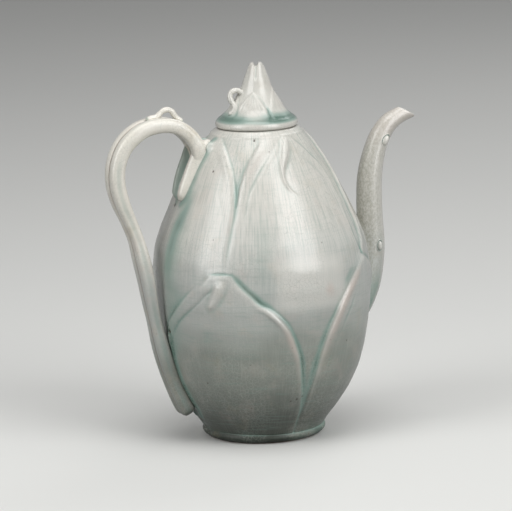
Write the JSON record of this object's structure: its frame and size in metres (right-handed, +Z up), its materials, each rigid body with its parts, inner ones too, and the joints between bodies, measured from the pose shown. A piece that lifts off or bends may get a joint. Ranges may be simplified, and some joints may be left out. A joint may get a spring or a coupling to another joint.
{
  "type": "bamboo shoot-shaped ewer",
  "caption": "Celadon ewer shaped like a bamboo shoot, wrapped in carved sheaths, with an S-curved spout, a two-roll strap handle and a lift-off conical lid.",
  "frame": {"origin": "centre of the foot ring on the plane that the ewer stands on", "axes": "+Z up through the lid, +X toward the spout, the handle on -X"},
  "size_m": [0.1911, 0.1246, 0.215],
  "materials": {
    "body_glaze": "clear grey-green celadon glaze over pale grey stoneware, glossy, crackled, pooling darker in the carved lines",
    "foot_glaze": "clear grey-green celadon glaze over pale grey stoneware, glossy, crackled, pooling darker in the carved lines",
    "spout_glaze": "clear grey-green celadon glaze over pale grey stoneware, glossy, crackled, pooling darker in the carved lines",
    "handle_glaze": "clear grey-green celadon glaze over pale grey stoneware, glossy, crackled, pooling darker in the carved lines",
    "lid_glaze": "clear grey-green celadon glaze over pale grey stoneware, glossy, crackled, pooling darker in the carved lines"
  },
  "bodies": {
    "ewer": {"vessel_body": "body_glaze", "foot_ring": "foot_glaze", "spout": "spout_glaze", "spout_bud_lower": "spout_glaze", "spout_bud_upper": "spout_glaze", "handle_roll_near": "handle_glaze", "handle_roll_far": "handle_glaze", "handle_root": "handle_glaze", "handle_loop": "handle_glaze"},
    "lid": {"lid": "lid_glaze", "lid_flange": "lid_glaze", "lid_loop": "lid_glaze"}
  },
  "joints": [
    {"name": "lid_lift", "type": "slide", "parent": "ewer", "child": "lid", "axis": [0, 0, 1], "range_m": [0, 0.06]}
  ]
}
